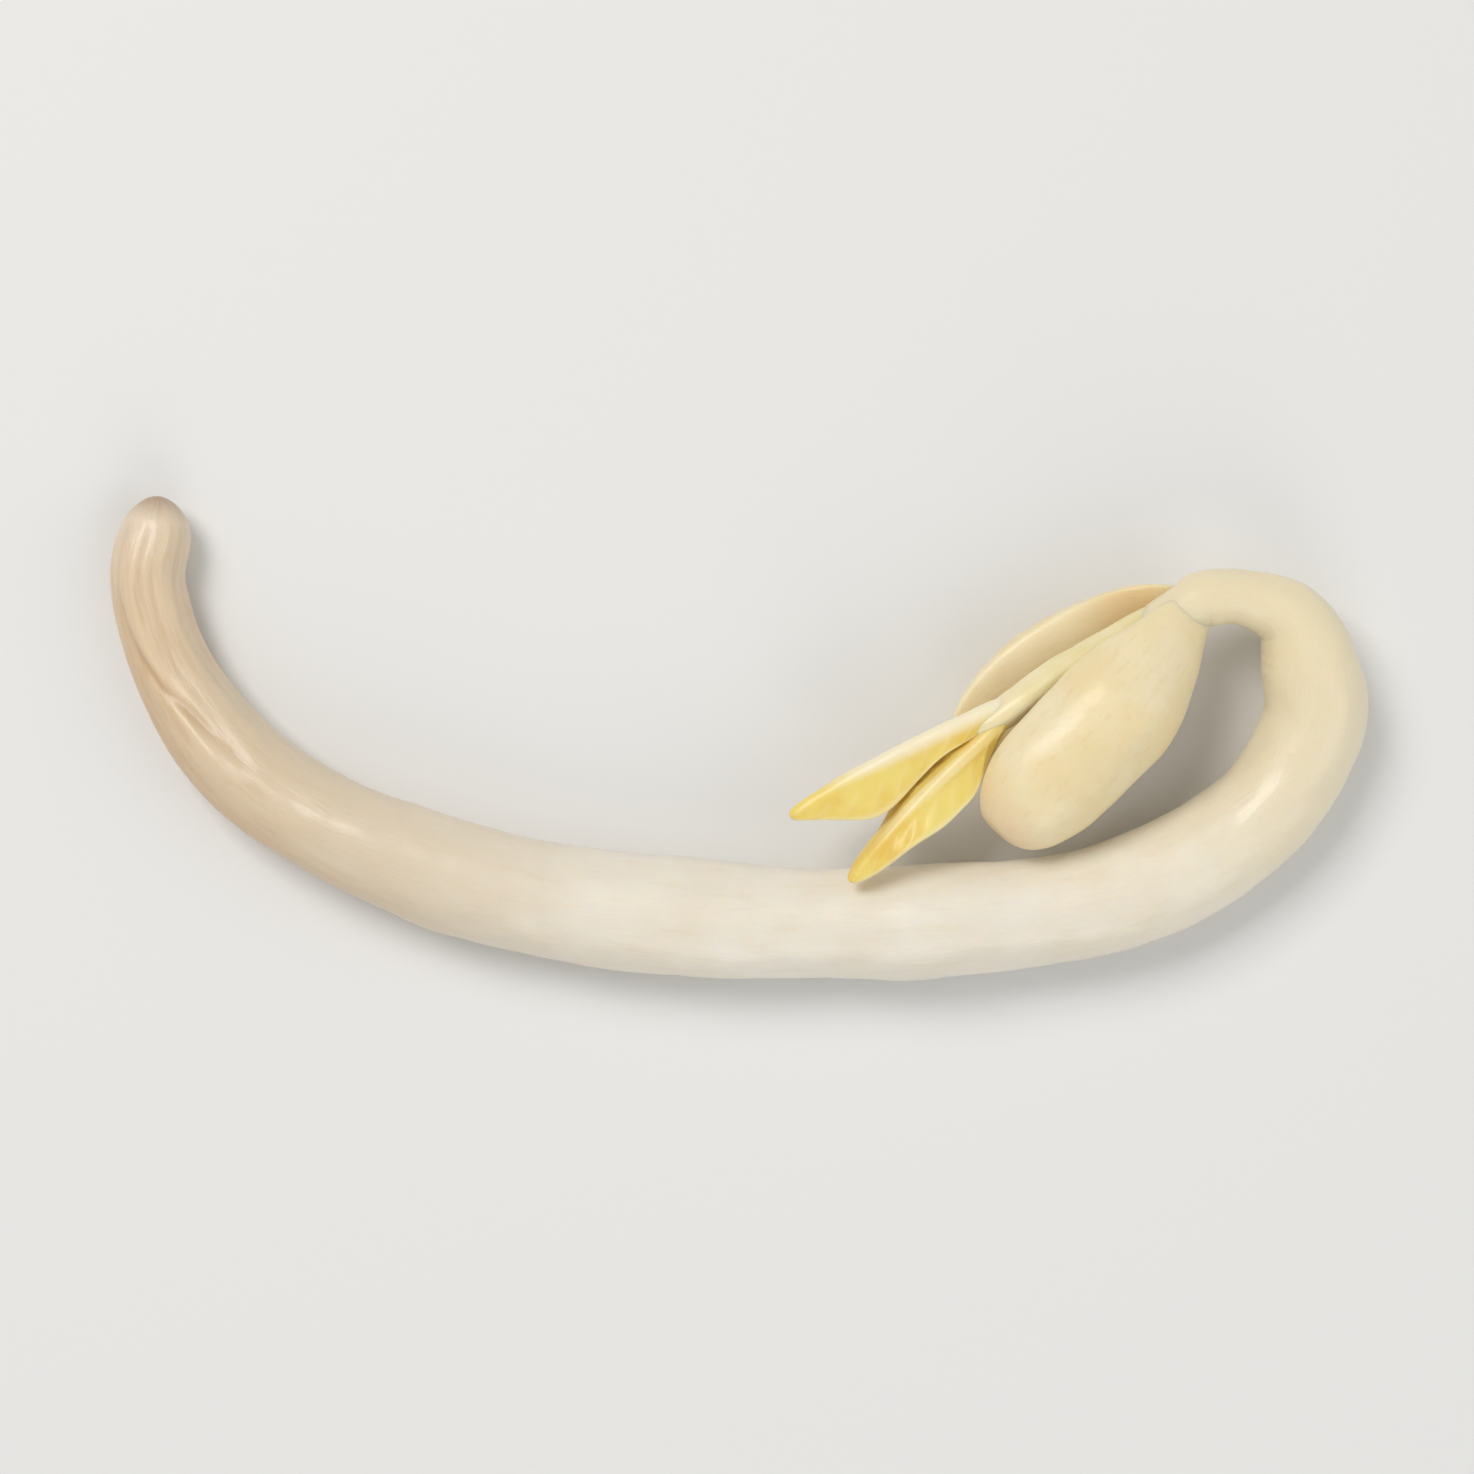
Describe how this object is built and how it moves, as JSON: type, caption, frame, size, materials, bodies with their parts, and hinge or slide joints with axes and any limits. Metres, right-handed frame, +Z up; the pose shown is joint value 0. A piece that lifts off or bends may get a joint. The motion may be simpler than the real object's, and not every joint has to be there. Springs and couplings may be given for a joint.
{
  "type": "mung bean sprout",
  "caption": "Curved white sprout lying on its side, with a tan root end, a thin hook, the bean's halves spread apart and a short shoot with folded yellow leaves.",
  "frame": {"origin": "middle of the sprout's footprint, on the surface that it lies on", "axes": "+X from the root end towards the hook, along the longest extent; +Y towards the open side of the stem's curve; +Z up, the thinnest extent"},
  "size_m": [0.043, 0.0166, 0.0058],
  "materials": {
    "stem_flesh": "satin",
    "seed_leaf": "satin",
    "shoot": "satin",
    "first_leaf": "satin"
  },
  "bodies": {
    "root": {"hypocotyl_and_root": "stem_flesh", "cotyledon_top": "seed_leaf", "cotyledon_under": "seed_leaf", "epicotyl": "shoot", "first_leaf_long": "first_leaf", "first_leaf_short": "first_leaf"}
  },
  "joints": []
}
